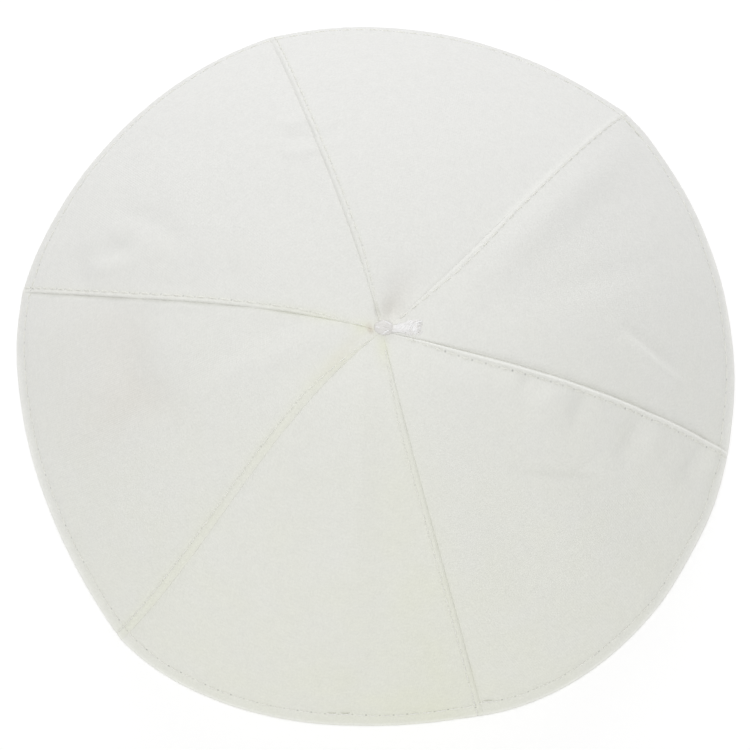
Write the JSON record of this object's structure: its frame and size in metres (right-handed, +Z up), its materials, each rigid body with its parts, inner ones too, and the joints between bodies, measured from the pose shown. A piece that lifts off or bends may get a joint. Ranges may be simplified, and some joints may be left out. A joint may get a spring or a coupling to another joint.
{
  "type": "zucchetto",
  "caption": "Round white skullcap of sewn cotton gores with topstitched seams, a turned hem at the rim and a short satin thread stem at the crown.",
  "frame": {"origin": "centre of the cap's bounding box, on the surface that the rim rests on", "axes": "+Z up from the rim to the crown; +Y away from the viewer of the usual top view, with +X to the right; a round cap has no front or back"},
  "size_m": [0.1796, 0.1764, 0.0544],
  "materials": {
    "cotton_cloth": "matte white plain-weave cotton",
    "satin_thread": "white thread with a satin sheen"
  },
  "bodies": {
    "root": {"gore_1": "cotton_cloth", "gore_2": "cotton_cloth", "gore_3": "cotton_cloth", "gore_4": "cotton_cloth", "gore_5": "cotton_cloth", "gore_6": "cotton_cloth", "stem": "satin_thread"}
  },
  "joints": []
}
